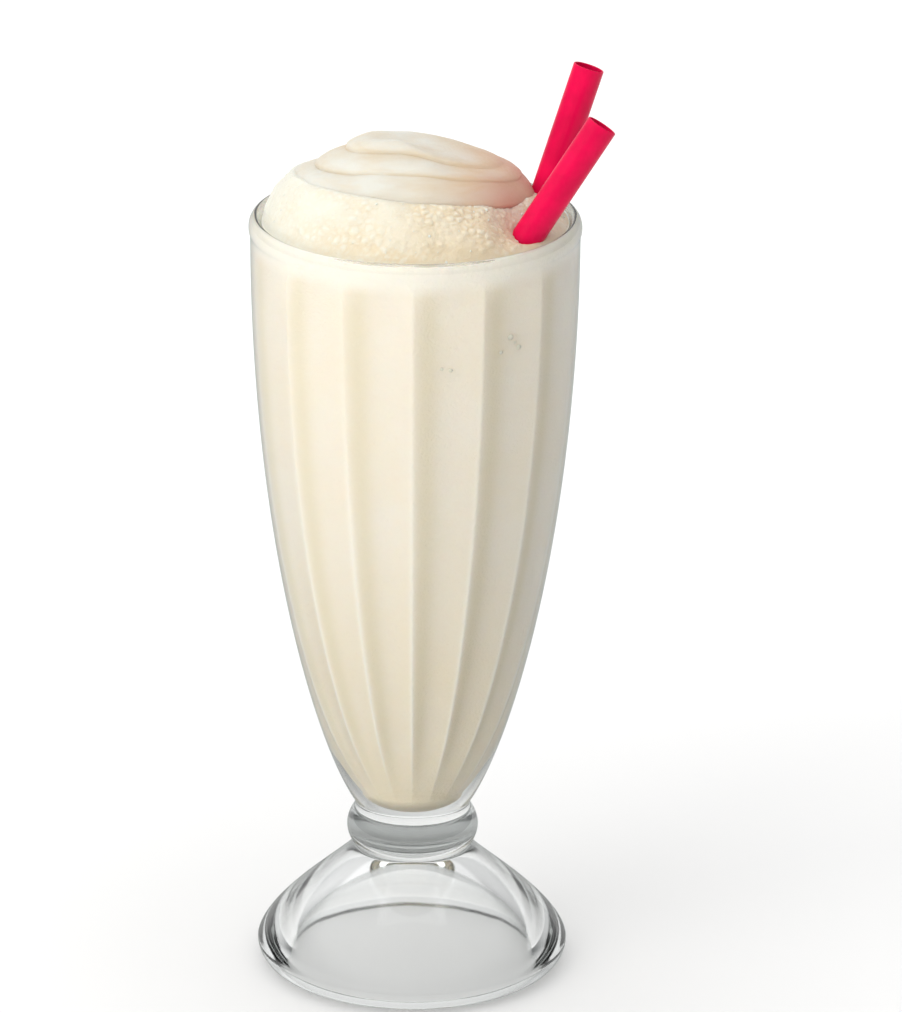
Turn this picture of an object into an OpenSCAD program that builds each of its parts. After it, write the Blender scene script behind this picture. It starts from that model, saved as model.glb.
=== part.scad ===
// Vanilla milkshake in a footed soda fountain glass, with two drinking straws.
// Origin: centre of the ring the foot rests on. +Z up, -Y to the front. Millimetres.

/* [Glass bowl] */
// Height of the glass, from the table to the top of the lip
glass_h = 193; // [165:1:225]
// Radius of the rolled lip at its widest
lip_r = 40.1; // [34:0.1:48]
// Height of the rolled lip
lip_h = 5.5; // [4:0.1:7]
// How far the lip stands out past the bowl
lip_bulge = 0.4; // [0.1:0.05:0.8]
// How far inside the widest line the lip's highest line lies
lip_crest_in = 1.7; // [1.2:0.1:2.2]
// Thickness of the lip, and of the wall just under it
wall_top = 3.3; // [2.8:0.1:4.5]
// Thickness of the wall where the bowl meets the stem
wall_low = 11; // [8:0.1:12]
// Thickness of glass between the stem and the bottom of the drink
floor_t = 4; // [3:0.5:8]
// Height over which the bottom of the inside is rounded
cup_round_h = 4; // [2:0.5:10]

/* [Flutes] */
// Number of flutes round the inside wall
flutes = 14; // [10:1:18]
// Depth of a flute of the inside wall
flute_d = 1.6; // [0.5:0.1:2]
// Height over which the flutes rise from the bottom of the drink
flute_rise_h = 26; // [15:1:40]
// Direction of the crease between two flutes that is nearest the front
crease_az = -90.5; // [-100:0.5:-80]

/* [Stem and foot] */
// Radius of the foot at its widest
foot_r = 38.4; // [32:0.1:46]
// Height at which the foot is widest
foot_edge_h = 5.1; // [4:0.1:7]
// Height of the foot, up to the groove under the knop
foot_h = 30.5; // [28:0.5:38]
// Outer radius of the flat ring that the foot rests on
foot_ring_r = 33.5; // [27:0.1:38]
// Width of that ring
foot_ring_w = 3; // [2:0.1:4]
// Depth of glass between the hollow of the foot and the groove under the knop
hollow_roof_t = 3; // [2:0.5:6]
// Radius of the grooves above and below the knop
stem_r = 14.3; // [12:0.1:17]
// Radius of the knop
knop_r = 16.2; // [15:0.1:20]
// Height of the knop, groove to groove
knop_h = 9.5; // [8:0.5:14]

/* [Shake] */
// Gap between the drink and the glass
fill_gap = 0.1; // [0.05:0.05:0.3]
// How far below the top of the lip the froth meets the glass
froth_drop = 2; // [1:0.5:8]
// Height above the lip, on the axis, of the plane that the swirl sits on
seat_h = 7.1; // [5:0.1:9]
// How much that plane falls to the right, and to the back, for each millimetre
seat_fall = [0.083, 0.10]; // [0:0.001:0.15]
// Depth and radius of the dip in the froth where the front straw goes in
straw_dip = [5, 7]; // [1:0.5:9]

/* [Swirl] */
// Centre of the swirl, from the axis of the glass
swirl_centre = [-0.5, 3]; // [-3:0.5:4]
// Radius of the swirl's lower edge to the right, back, left and front
edge_r = [29, 26.5, 29, 26.5]; // [24:0.5:30]
// Radius of the middle crease to the right, back, left and front
middle_r = [26, 20, 23.5, 19]; // [17:0.5:27]
// Height of the middle crease above the lip, to the right, back, left and front
middle_h = [9.3, 9.5, 11.5, 14.6]; // [9:0.1:16]
// Radius of the crease under the cap to the right, back, left and front
cap_r = [21.5, 13, 16.3, 10.8]; // [8:0.1:22]
// Height of the cap's crease above the lip, to the right, back, left and front
cap_h = [12.2, 14.5, 15.7, 17.2]; // [12:0.1:18]
// The swirl's highest point, from the axis of the glass and above the lip
swirl_peak = [-5, 4, 17.6]; // [-6:0.1:22]
// How far the lower roll, the middle roll and the cap swell out
roll_swell = [0.8, 0.9, 1.7]; // [0.2:0.1:2.5]

/* [Straws] */
// Outer diameter of a straw
straw_d = 7.5; // [5:0.1:8.5]
// Thickness of its wall
straw_wall = 0.4; // [0.3:0.05:0.8]
// Clearance between a straw and the drink round it
straw_gap = 0.05; // [0.02:0.01:0.1]
// Length of straw that stands clear of the drink
straw_out = 34.5; // [20:0.5:60]
// Clearance between the front straw and the lip, and between it and the flutes at its lower end
front_wall_gap = [2, 0.8]; // [0.3:0.1:3]
// Height of the front straw's way in above the lip
front_in_h = -1.7; // [-2:0.1:2]
// Depth below the lip of the front straw's lower end
front_dip = 60; // [40:1:70]
// Directions from the axis of the front straw's way in and of its lower end
front_az = [-35.3, -117]; // [-180:0.5:180]
// Clearance between the back straw and the lip
back_wall_gap = 1.9; // [0.3:0.1:3]
// Height of the back straw's way in above the lip
back_in_h = 2.2; // [0:0.1:6]
// Direction from the axis of the back straw's way in
back_az = 9; // [-10:0.5:30]
// Lean of the back straw to the right and to the back, in degrees
back_lean = [17.9, 5.1]; // [0:0.1:20]

/* [Hidden] */

FLUTE_COLUMNS = 5;                 // columns of facets across one flute
SWIRL_COLUMNS = 64;
ROLL_STEPS = 5;                    // rows of facets up one roll
SWELL_SHARE = [0.55, 0.9, 1.15, 1]; // share of a roll's swell to the right, back, left and front
MEAN_SINE = 0.64;                  // mean of |sin|, so that flutes keep the mean radius
$fn = 96;

columns = flutes * FLUTE_COLUMNS;
lip_low_h = glass_h - lip_h;                     // where the lip meets the bowl
stem_top_h = foot_h + knop_h;                    // where the bowl meets the stem
floor_h = stem_top_h + floor_t;                  // bottom of the drink
bowl_top_r = lip_r - lip_bulge;
bowl_start_r = stem_r - 2;                       // where the bowl's curve starts, inside the groove
inner_r = lip_r - wall_top;                      // inside radius at the lip
crest_r = lip_r - lip_crest_in;
lip_mid_h = glass_h - lip_h / 2;
hollow_r = foot_ring_r - foot_ring_w;
hollow_h = foot_h - hollow_roof_t;
straw_r = straw_d / 2;

// ---- curves ----

// Outside radius of the bowl at height z
function bowl_r(z) =
    let (t = min(1, max(0, (z - stem_top_h) / (lip_low_h - stem_top_h))))
    max(stem_r, bowl_start_r + (bowl_top_r - bowl_start_r) * pow(1 - pow(1 - t, 2), 0.735));

// Thickness of the bowl's wall at height z
function wall_t(z) =
    let (t = min(1, max(0, (z - stem_top_h) / (lip_low_h - stem_top_h))))
    wall_top - lip_bulge + (wall_low - wall_top + lip_bulge) * pow(1 - t, 2.2);

// Mean inside radius at height z, rounded off towards the floor
function cup_r(z) =
    let (round_top = floor_h + cup_round_h,
         below = max(0, round_top - z) / cup_round_h,
         zz = max(z, round_top))
    (bowl_r(zz) - wall_t(zz)) * sqrt(max(0, 1 - pow(below, 2)));

// 0 to 1: how deep the flutes are at height z, fading at the floor and under the lip
function flute_fade(z) =
    min(1, max(0, (z - floor_h) / flute_rise_h))
    * min(1, max(0, (lip_low_h - z) / (lip_h * 0.8)));

// Hollow flute at angle a, with its creases away from the axis, about the mean
function scallop(a) = MEAN_SINE - abs(sin(flutes * (a - crease_az) / 2));

// Radius of the foot's outside at height z above its widest line
function foot_curve_r(z) =
    let (t = min(1, (z - foot_edge_h) / (foot_h - foot_edge_h)))
    stem_r + (foot_r - stem_r) * pow(1 - pow(t, 1.41), 1.21);

// Radius of the foot's hollow at height z
function hollow_curve_r(z) = hollow_r * pow(max(0, 1 - pow(z / hollow_h, 1.6)), 0.9);

// Height of the plane that the swirl sits on, at x, y
function seat_z(x, y) = glass_h + seat_h - seat_fall[0] * x - seat_fall[1] * y;

function lerp(a, b, u) = a + (b - a) * u;

// ---- skins made of closed rows of points ----

// Solid between rows of points that run round the axis, closed by one low and one high point
module skin(rows, low, high) {
    n = len(rows[0]);
    last = len(rows) - 1;
    points = concat([low], [for (row = rows) for (p = row) p], [high]);
    top = len(points) - 1;
    faces = concat(
        [for (j = [0:n - 1]) [0, 1 + j, 1 + (j + 1) % n]],
        [for (i = [0:last - 1], j = [0:n - 1])
            let (a = 1 + i * n + j, b = 1 + i * n + (j + 1) % n) [a, a + n, b]],
        [for (i = [0:last - 1], j = [0:n - 1])
            let (a = 1 + i * n + j, b = 1 + i * n + (j + 1) % n) [a + n, b + n, b]],
        [for (j = [0:n - 1])
            let (a = 1 + last * n + j, b = 1 + last * n + (j + 1) % n) [a, top, b]]);
    polyhedron(points, faces);
}

function column_angle(j) = crease_az + 360 * j / columns;

// One row of the fluted inside, drawn in by gap
function cup_row(z, gap) =
    [for (j = [0:columns - 1])
        let (a = column_angle(j), r = cup_r(z) - gap + flute_d * flute_fade(z) * scallop(a))
        [r * cos(a), r * sin(a), z]];

// Heights of the rows of the inside, close together at the rounded bottom
cup_round_zs = [for (a = [20:17.5:90]) floor_h + cup_round_h * (1 - cos(a))];
cup_wall_steps = 8;
cup_wall_zs = [for (i = [1:cup_wall_steps])
    lerp(floor_h + cup_round_h, lip_low_h - lip_h * 0.8, i / cup_wall_steps)];
cup_zs = concat(cup_round_zs, cup_wall_zs, [lip_low_h]);

// ---- glass ----

function arc(centre, radii, from, to, steps) =
    [for (i = [0:steps])
        let (a = lerp(from, to, i / steps))
        [centre[0] + radii[0] * cos(a), centre[1] + radii[1] * sin(a)]];

foot_outline = concat(
    arc([foot_ring_r, foot_edge_h], [foot_r - foot_ring_r, foot_edge_h], -90, 0, 6),
    [for (i = [1:12]) let (z = lerp(foot_edge_h, foot_h, i / 12)) [foot_curve_r(z), z]]);
knop_outline = [for (i = [1:10])
    [stem_r + (knop_r - stem_r) * pow(sin(18 * i), 0.8), foot_h + knop_h * i / 10]];
bowl_outline = [for (i = [1:24])
    let (z = lerp(stem_top_h + 1.9, lip_low_h, pow(i / 24, 1.3))) [bowl_r(z), z]];
lip_outline = concat(
    arc([crest_r, lip_mid_h], [lip_crest_in, lip_h / 2], -36, 80, 8),
    arc([crest_r, lip_mid_h], [crest_r - inner_r + 0.2, lip_h / 2], 90, 180, 6));

hollow_outline = concat([[0, -1], [hollow_r, -1]],
    [for (i = [0:14]) let (z = hollow_h * sin(90 * i / 14)) [hollow_curve_r(z), z]]);

module hollow_of_foot() {
    rotate_extrude() polygon(hollow_outline);
}

module cup_space() {
    mouth = [for (p = cup_row(lip_low_h, 0)) [p[0], p[1], glass_h + 1]];
    skin(concat([for (z = cup_zs) cup_row(z, 0)], [mouth]), [0, 0, floor_h], [0, 0, glass_h + 1]);
}

module glass() {
    color("#dfe6e2", 0.35)
    difference() {
        rotate_extrude()
            polygon(concat([[0, 0]], foot_outline, knop_outline, bowl_outline, lip_outline,
                           [[0, lip_mid_h]]));
        cup_space();
        hollow_of_foot();
    }
}

// ---- straws ----

front_in_r = inner_r - straw_r - front_wall_gap[0];
front_end_z = glass_h - front_dip;
front_end_r = cup_r(front_end_z) - flute_d * (1 - MEAN_SINE) - straw_r - front_wall_gap[1];
front_in = [front_in_r * cos(front_az[0]), front_in_r * sin(front_az[0]), glass_h + front_in_h];
front_end = [front_end_r * cos(front_az[1]), front_end_r * sin(front_az[1]), front_end_z];
front_way = (front_in - front_end) / norm(front_in - front_end);

back_in_r = inner_r - straw_r - back_wall_gap;
back_in = [back_in_r * cos(back_az), back_in_r * sin(back_az), glass_h + back_in_h];
back_slope = [tan(back_lean[0]), tan(back_lean[1]), 1];
back_way = back_slope / norm(back_slope);

// Both straws have the length that takes the front one down to its lower end
straw_len = straw_out + norm(front_in - front_end);

// Round bar of radius r along a straw, from its lower end, longer by extra at both ends
module straw_bar(way_in, way, r, extra) {
    low = way_in + way * (straw_out - straw_len);
    translate(low)
        rotate([0, acos(way[2]), atan2(way[1], way[0])])
        translate([0, 0, -extra])
        cylinder(r = r, h = straw_len + 2 * extra);
}

module straw(way_in, way) {
    color("#d9144e")
    difference() {
        straw_bar(way_in, way, straw_r, 0);
        straw_bar(way_in, way, straw_r - straw_wall, 1);
    }
}

module straw_back() {
    straw(back_in, back_way);
}

module straw_front() {
    straw(front_in, front_way);
}

module straw_holes() {
    straw_bar(back_in, back_way, straw_r + straw_gap, straw_gap);
    straw_bar(front_in, front_way, straw_r + straw_gap, straw_gap);
}

// ---- shake ----

// Smooth value at angle a, from its values v to the right, back, left and front
function around(v, a) =
    (v[0] + v[1] + v[2] + v[3]) / 4 + (v[0] - v[2]) / 2 * cos(a) + (v[1] - v[3]) / 2 * sin(a)
    + (v[0] - v[1] + v[2] - v[3]) / 4 * cos(2 * a);

// Point at angle a round the swirl's centre, with radii v to the right, back, left and front
function swirl_point(v, a) =
    [swirl_centre[0] + around(v, a) * cos(a), swirl_centre[1] + around(v, a) * sin(a)];

seat_middle = [swirl_centre[0], swirl_centre[1], seat_z(swirl_centre[0], swirl_centre[1])];

// Height of the froth at x, y: share u of the way in from the wall to the swirl
function froth_z(x, y, u) =
    let (wall_z = glass_h - froth_drop,
         off = norm([x - front_in[0], y - front_in[1]]) / straw_dip[1])
    lerp(wall_z, seat_z(x, y), pow(sin(90 * u), 0.8))
    - straw_dip[0] * exp(-off * off) * sin(90 * u) * (1 - pow(u, 4));

module shake() {
    wall_row = [for (p = cup_row(lip_low_h, fill_gap)) [p[0], p[1], glass_h - froth_drop]];
    steps = 6;
    froth_rows = [for (i = [1:steps])
        [for (j = [0:columns - 1])
            let (u = i / steps, p = wall_row[j], s = swirl_point(edge_r, column_angle(j)),
                 x = lerp(p[0], s[0], u), y = lerp(p[1], s[1], u))
            [x, y, froth_z(x, y, u)]]];
    color("#f2e8d2")
    difference() {
        skin(concat([for (z = cup_zs) cup_row(z, fill_gap)], [wall_row], froth_rows),
             [0, 0, floor_h + fill_gap], seat_middle);
        straw_holes();
    }
}

// ---- swirl ----

// A crease point at angle a: number 0 is the lower edge, on the seat, and 3 is the peak
function crease(k, a) =
    k == 3 ? [swirl_peak[0], swirl_peak[1], glass_h + swirl_peak[2]] :
    let (p = swirl_point([edge_r, middle_r, cap_r][k], a))
    [p[0], p[1], k == 0 ? seat_z(p[0], p[1]) : glass_h + around([middle_h, cap_h][k - 1], a)];

// Point u of the way up roll k at angle a, swollen outwards between its creases
function roll_point(k, a, u) =
    let (from = crease(k, a), to = crease(k + 1, a),
         run = norm([from[0] - to[0], from[1] - to[1]]), rise = to[2] - from[2],
         swell = roll_swell[k] * around(SWELL_SHARE, a) * pow(sin(180 * sqrt(u)), 0.8)
                 / norm([run, rise]))
    [lerp(from[0], to[0], u) + (from[0] - to[0]) / run * rise * swell,
     lerp(from[1], to[1], u) + (from[1] - to[1]) / run * rise * swell,
     lerp(from[2], to[2], u) + run * swell];

module swirl() {
    angles = [for (j = [0:SWIRL_COLUMNS - 1]) 360 * j / SWIRL_COLUMNS];
    rows = [for (k = [0:2], i = [0:ROLL_STEPS - 1]) [for (a = angles) roll_point(k, a, i / ROLL_STEPS)]];
    color("#fbf6ea")
    difference() {
        skin(rows, seat_middle, crease(3, 0));
        straw_holes();
    }
}

glass();
shake();
swirl();
straw_back();
straw_front();
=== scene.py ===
"""Vanilla milkshake in a footed soda fountain glass, with two straws.

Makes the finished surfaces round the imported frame: the pressed glass with its fluted inside, the
drink and its froth, the swirl, bubbles, the straws and a plain studio. Sizes are in metres.
"""

import math

import bpy
import numpy as np
from bpy.props import (
    FloatProperty,
    FloatVectorProperty,
    IntProperty,
    PointerProperty,
)
from mathutils import Matrix, Vector, noise


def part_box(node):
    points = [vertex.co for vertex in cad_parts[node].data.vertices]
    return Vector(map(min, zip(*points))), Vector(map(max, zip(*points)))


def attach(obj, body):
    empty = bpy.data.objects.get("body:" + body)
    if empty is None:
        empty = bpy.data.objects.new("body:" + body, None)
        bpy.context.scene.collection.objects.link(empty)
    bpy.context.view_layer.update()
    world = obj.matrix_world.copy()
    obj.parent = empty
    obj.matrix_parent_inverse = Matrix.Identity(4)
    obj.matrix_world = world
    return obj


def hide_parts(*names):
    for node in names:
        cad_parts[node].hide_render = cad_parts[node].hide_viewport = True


bl_info = {
    "name": "Vanilla Milkshake",
    "version": (1, 0, 0),
    "blender": (4, 5, 0),
    "location": "View3D > Sidebar > Milkshake",
    "description": "Builds a vanilla milkshake in a footed glass round its packed frame",
    "category": "Object",
}

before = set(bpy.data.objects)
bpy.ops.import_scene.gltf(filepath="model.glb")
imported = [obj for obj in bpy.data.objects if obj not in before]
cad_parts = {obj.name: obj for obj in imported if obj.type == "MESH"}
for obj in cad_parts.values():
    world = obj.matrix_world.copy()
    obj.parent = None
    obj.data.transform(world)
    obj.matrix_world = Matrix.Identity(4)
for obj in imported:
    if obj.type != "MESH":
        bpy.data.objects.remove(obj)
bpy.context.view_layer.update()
GLASS_LOW, GLASS_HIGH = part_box("glass")
MM = 0.001
MEAN_SINE = 0.64  # mean of |sin|, so that flutes keep the mean radius


# ---- sizes and colours ----


def length(name, description, default, low=0.0, high=0.5):
    """A length property in metres, given here in millimetres."""
    return FloatProperty(
        name=name,
        description=description,
        default=default * MM,
        min=low,
        max=high,
        precision=4,
        subtype="DISTANCE",
        unit="LENGTH",
    )


def lengths(name, description, defaults):
    """Lengths to the right, the back, the left and the front, given in millimetres."""
    return FloatVectorProperty(
        name=name,
        description=description + ", to the right, back, left and front",
        default=[d * MM for d in defaults],
        size=len(defaults),
        precision=4,
        unit="LENGTH",
    )


def angles(name, description, defaults):
    """One or more angles, given in degrees."""
    return FloatVectorProperty(
        name=name,
        description=description,
        default=[math.radians(d) for d in defaults],
        size=len(defaults),
        subtype="NONE",
        unit="ROTATION",
    )


def tint(name, description, default):
    """A linear colour property."""
    return FloatVectorProperty(
        name=name,
        description=description,
        default=default,
        size=len(default),
        min=0.0,
        max=1.0,
        subtype="COLOR",
    )


class MilkshakeGlass(bpy.types.PropertyGroup):
    """Sizes of the footed glass."""

    height: FloatProperty(
        name="Height",
        description="Table to the top of the lip",
        default=GLASS_HIGH[2],
        unit="LENGTH",
    )
    lip_r: FloatProperty(
        name="Lip radius",
        description="Radius of the rolled lip at its widest",
        default=-GLASS_LOW[0],
        unit="LENGTH",
    )
    lip_h: length("Lip height", "Height of the rolled lip", 5.5)
    lip_bulge: length("Lip bulge", "How far the lip stands out past the bowl", 0.4)
    crest_in: length("Crest inset", "From the widest line in to the lip's highest line", 1.7)
    wall_top: length("Top wall", "Thickness of the lip and of the wall under it", 3.3)
    wall_low: length("Low wall", "Thickness of the wall at the stem", 11.0)
    floor_t: length("Floor", "Glass between the stem and the bottom of the drink", 4.0)
    cup_round_h: length("Bottom rounding", "Height over which the inside is rounded", 4.0)
    flutes: IntProperty(
        name="Flutes",
        description="Number of flutes round the inside wall",
        default=14,
        min=6,
    )
    flute_d: length("Flute depth", "Depth of a flute of the inside wall", 1.6)
    flute_rise_h: length("Flute rise", "Height over which the flutes rise from the floor", 26.0)
    crease_az: FloatProperty(
        name="Crease direction",
        description="Direction of the crease nearest the front",
        default=math.radians(-90.5),
        subtype="ANGLE",
    )
    foot_r: length("Foot radius", "Radius of the foot at its widest", 38.4)
    foot_edge_h: length("Foot edge", "Height at which the foot is widest", 5.1)
    foot_h: length("Foot height", "Table to the groove under the knop", 30.5)
    ring_r: length("Ring radius", "Outer radius of the ring the foot rests on", 33.5)
    ring_w: length("Ring width", "Width of that ring", 3.0)
    roof_t: length("Roof", "Glass between the foot's hollow and the groove", 3.0)
    stem_r: length("Groove radius", "Radius of the grooves by the knop", 14.3)
    knop_r: length("Knop radius", "Radius of the knop", 16.2)
    knop_h: length("Knop height", "Height of the knop, groove to groove", 9.5)
    columns_per_flute: IntProperty(
        name="Columns per flute",
        description="Columns of faces across one flute",
        default=18,
        min=6,
    )


class MilkshakeDrink(bpy.types.PropertyGroup):
    """Sizes of the drink, its froth and the swirl on it."""

    bite: length("Bite", "How far the drink reaches into the glass wall", 0.12)
    froth_drop: length("Froth drop", "How far below the lip the froth meets the glass", 1.6)
    seat_h: length("Seat height", "Height of the swirl's seat above the lip on the axis", 7.1)
    seat_fall: FloatVectorProperty(
        name="Seat fall",
        description="How much the seat falls to the right and to the back",
        default=(0.083, 0.10),
        size=2,
    )
    centre: FloatVectorProperty(
        name="Swirl centre",
        description="Centre of the swirl from the axis of the glass",
        default=(-0.5 * MM, 3.0 * MM),
        size=2,
        precision=4,
        unit="LENGTH",
    )
    edge_r: lengths("Edge radius", "Radius of the swirl's lower edge", (29, 26.5, 29, 26.5))
    middle_r: lengths("Middle radius", "Radius of the middle crease", (26, 20, 23.5, 19))
    middle_h: lengths("Middle height", "Middle crease above the lip", (9.3, 9.5, 11.5, 14.6))
    cap_r: lengths("Cap radius", "Radius of the crease under the cap", (21.5, 13, 16.3, 10.8))
    cap_h: lengths("Cap height", "The cap's crease above the lip", (12.2, 14.5, 15.7, 17.2))
    top: FloatVectorProperty(
        name="Top",
        description="The swirl's highest point: x, y and height above the lip",
        default=(-5.0 * MM, 4.0 * MM, 17.6 * MM),
        size=3,
        precision=4,
        unit="LENGTH",
    )
    swells: FloatVectorProperty(
        name="Swells",
        description="How far the lower roll, the middle roll and the cap swell out",
        default=(0.8 * MM, 0.9 * MM, 1.7 * MM),
        size=3,
        precision=5,
        unit="LENGTH",
    )
    # reach of the painted shadow and red bounce light of the straws
    straw_shadow_reach: length("Blush reach", "How far from a straw its colour shows on the cream", 13.0)
    dip_d: length("Dip depth", "How deep the froth dips where the front straw goes in", 5.2)
    dip_r: length("Dip radius", "Radius of that dip", 7.0)
    froth_relief: length("Froth relief", "Height of the froth's crumbs", 0.65)
    froth_cell: length("Froth cell", "Width of one crumb of froth", 1.9)
    bubbles: IntProperty(
        name="Froth bubbles",
        description="Number of small bubbles that stand on the froth",
        default=170,
        min=0,
    )


class MilkshakeStraws(bpy.types.PropertyGroup):
    """Sizes of the two straws."""

    diameter: length("Diameter", "Outer diameter of a straw", 7.5)
    wall: length("Wall", "Thickness of its wall", 0.4)
    length_out: length("Length out", "Length of straw that stands clear of the drink", 34.5)
    front_gap: length("Front gap", "Clearance between the front straw and the lip", 2.0)
    front_drop: length("Front drop", "Depth below the lip of the front straw's way in", 1.7)
    front_dip: length("Front dip", "Depth below the lip of the front straw's lower end", 60.0)
    front_end_gap: length("Front end gap", "Clearance from its lower end to the flutes", 0.8)
    front_az: angles("Front directions", "Directions of its way in and lower end", (-35.3, -117))
    back_gap: length("Back gap", "Clearance between the back straw and the lip", 1.9)
    back_rise: length("Back rise", "Height above the lip of the back straw's way in", 2.2)
    back_az: angles("Back direction", "Direction of the back straw's way in", (9.0,))
    back_lean: angles("Back lean", "Lean of the back straw to the right and back", (17.9, 5.1))


class MilkshakeFinish(bpy.types.PropertyGroup):
    """Colours of the finishes."""

    glass: tint("Glass", "Tint of the pressed glass", (0.985, 0.99, 0.987, 1.0))
    # painted shade: where the glass is seen edge on it is mixed towards this dark tint
    glass_edge_shade: tint("Glass, edge", "Tint of the glass seen edge on", (0.30, 0.33, 0.32, 1.0))
    glass_depth: tint("Glass, depth", "Tint that grows with its depth", (0.32, 0.37, 0.35, 1.0))
    glass_shade: tint("Glass, shade", "Tint of one surface's shadow", (0.88, 0.88, 0.88, 1.0))
    shake: tint("Shake", "Colour of the drink", (0.90, 0.84, 0.74, 1.0))
    shake_deep: tint("Shake, deep", "Colour of the drink lower down", (0.90, 0.79, 0.59, 1.0))
    # painted shade: the drink is darker just to one side of each crease of the flutes
    shake_flute_shade: tint("Shake, flute", "Colour of the drink in the flutes", (0.79, 0.715, 0.52, 1.0))
    # painted highlight: paler drink along the flutes' creases and in a band under the lip
    shake_painted_highlight: tint("Shake, ridge", "Colour of the drink on the creases", (0.97, 0.93, 0.84, 1.0))
    froth: tint("Froth", "Colour of the froth", (0.67, 0.665, 0.585, 1.0))
    # painted shade: darker tan between the froth's crumbs and over its right side
    froth_shade: tint("Froth, deep", "Colour between the froth's crumbs", (0.64, 0.545, 0.385, 1.0))
    cream: tint("Cream", "Colour of the swirl", (0.60, 0.59, 0.53, 1.0))
    # painted shade: tan in the swirl's folds and on its right side
    cream_shade: tint("Cream, deep", "Colour in the swirl's folds", (0.54, 0.44, 0.30, 1.0))
    # painted shadow and red bounce light of the straws on the cream and the froth
    straw_shadow_and_bounce: tint("Blush", "Colour that the straws cast on the cream", (0.50, 0.27, 0.20, 1.0))
    straw: tint("Straw", "Colour of the straws", (0.72, 0.001, 0.064, 1.0))
    # painted shadow: the floor takes this darker colour close by the foot
    floor: tint("Floor", "Colour of the studio floor by the foot", (0.75, 0.75, 0.75, 1.0))
    floor_far: tint("Floor, far", "Colour of the floor farther away", (0.93, 0.93, 0.93, 1.0))


class MilkshakeStage(bpy.types.PropertyGroup):
    """Camera of the studio."""

    camera_distance: length("Camera distance", "Camera from the axis, level", 1500, high=5.0)
    camera_height: length("Camera height", "Camera above the table", 666.3, high=5.0)
    aim_x: length("Aim right", "Point aimed at, right of the axis", 9.0)
    aim_z: length("Aim height", "Point aimed at, above the table", 118.8)
    lens: FloatProperty(
        name="Lens",
        description="Focal length in millimetres",
        default=233.1,
    )
    roll: FloatProperty(
        name="Roll",
        description="Turn of the camera about its line of sight",
        default=0.00702,
        subtype="ANGLE",
    )


# ---- curves of the glass ----


def smooth(t):
    """0 to 1 with flat ends."""
    t = np.clip(t, 0.0, 1.0)
    return t * t * (3.0 - 2.0 * t)


def stem_top(g):
    return g.foot_h + g.knop_h


def lip_low(g):
    return g.height - g.lip_h


def cup_floor(g):
    return stem_top(g) + g.floor_t


def bowl_r(g, z):
    """Outside radius of the bowl at height z."""
    t = np.clip((z - stem_top(g)) / (lip_low(g) - stem_top(g)), 0.0, 1.0)
    start = g.stem_r - 2.0 * MM
    curve = start + (g.lip_r - g.lip_bulge - start) * (1.0 - (1.0 - t) ** 2) ** 0.735
    return np.maximum(g.stem_r, curve)


def wall_t(g, z):
    """Thickness of the bowl's wall at height z."""
    t = np.clip((z - stem_top(g)) / (lip_low(g) - stem_top(g)), 0.0, 1.0)
    top = g.wall_top - g.lip_bulge
    return top + (g.wall_low - top) * (1.0 - t) ** 2.2


def cup_r(g, z):
    """Mean inside radius at height z, rounded off towards the floor."""
    round_top = cup_floor(g) + g.cup_round_h
    below = np.clip((round_top - z) / g.cup_round_h, 0.0, 1.0)
    held = np.maximum(z, round_top)
    return (bowl_r(g, held) - wall_t(g, held)) * np.sqrt(1.0 - below**2)


def flute_fade(g, z):
    """How deep the flutes are at height z, from 0 to 1."""
    low = smooth((z - cup_floor(g)) / g.flute_rise_h)
    high = smooth((lip_low(g) - z) / (g.lip_h * 0.8))
    return low * high


def scallop(g, a):
    """Hollow flutes with their creases away from the axis, about the mean."""
    return MEAN_SINE - np.abs(np.sin(g.flutes * (a - g.crease_az) / 2.0))


def columns(g, per_flute):
    """Angles of the columns of faces, the first on a crease."""
    n = g.flutes * per_flute
    return g.crease_az + 2.0 * np.pi * np.arange(n) / n


def ring_rows(r, z, a, swing=None):
    """Rows of points at radii r and heights z round the axis, moved out by swing."""
    r = np.asarray(r)[:, None] + (0.0 if swing is None else swing)
    r = np.broadcast_to(r, (len(z), len(a)))
    zz = np.broadcast_to(np.asarray(z)[:, None], r.shape)
    return np.stack([r * np.cos(a), r * np.sin(a), zz], axis=-1)


# ---- meshes ----


def skin(name, rows, low=None, high=None, loop=False):
    """A closed piece through rows of points that run anticlockwise seen from above.

    The first row is the lowest on the outside. low and high close the ends with fans; loop joins
    the last row to the first instead.
    """
    count, n = rows.shape[:2]
    points = rows.reshape(-1, 3)
    i, j = np.meshgrid(np.arange(count if loop else count - 1), np.arange(n), indexing="ij")
    k, m = (i + 1) % count, (j + 1) % n
    quads = np.stack([i * n + j, i * n + m, k * n + m, k * n + j], -1).reshape(-1, 4)
    faces = quads.tolist()
    points = points.tolist()
    if low is not None:
        points.append(list(low))
        c = len(points) - 1
        faces += [[c, (s + 1) % n, s] for s in range(n)]
    if high is not None:
        points.append(list(high))
        c = len(points) - 1
        base = (count - 1) * n
        faces += [[c, base + s, base + (s + 1) % n] for s in range(n)]
    mesh = bpy.data.meshes.new(name)
    mesh.from_pydata(points, [], faces)
    mesh.validate()
    mesh.polygons.foreach_set("use_smooth", [True] * len(mesh.polygons))
    obj = bpy.data.objects.new(name, mesh)
    bpy.context.scene.collection.objects.link(obj)
    return obj


def point_values(obj, name, values):
    """Stores one number for each point of a piece."""
    layer = obj.data.attributes.new(name, "FLOAT", "POINT")
    layer.data.foreach_set("value", np.asarray(values, dtype=np.float32))


def finish_piece(obj, material, slot, *nodes):
    """Gives a piece its material and its place in the frame."""
    obj.data.materials.clear()
    obj.data.materials.append(material)
    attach(obj, "root")
    if nodes:
        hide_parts(*nodes)
    return obj


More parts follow.
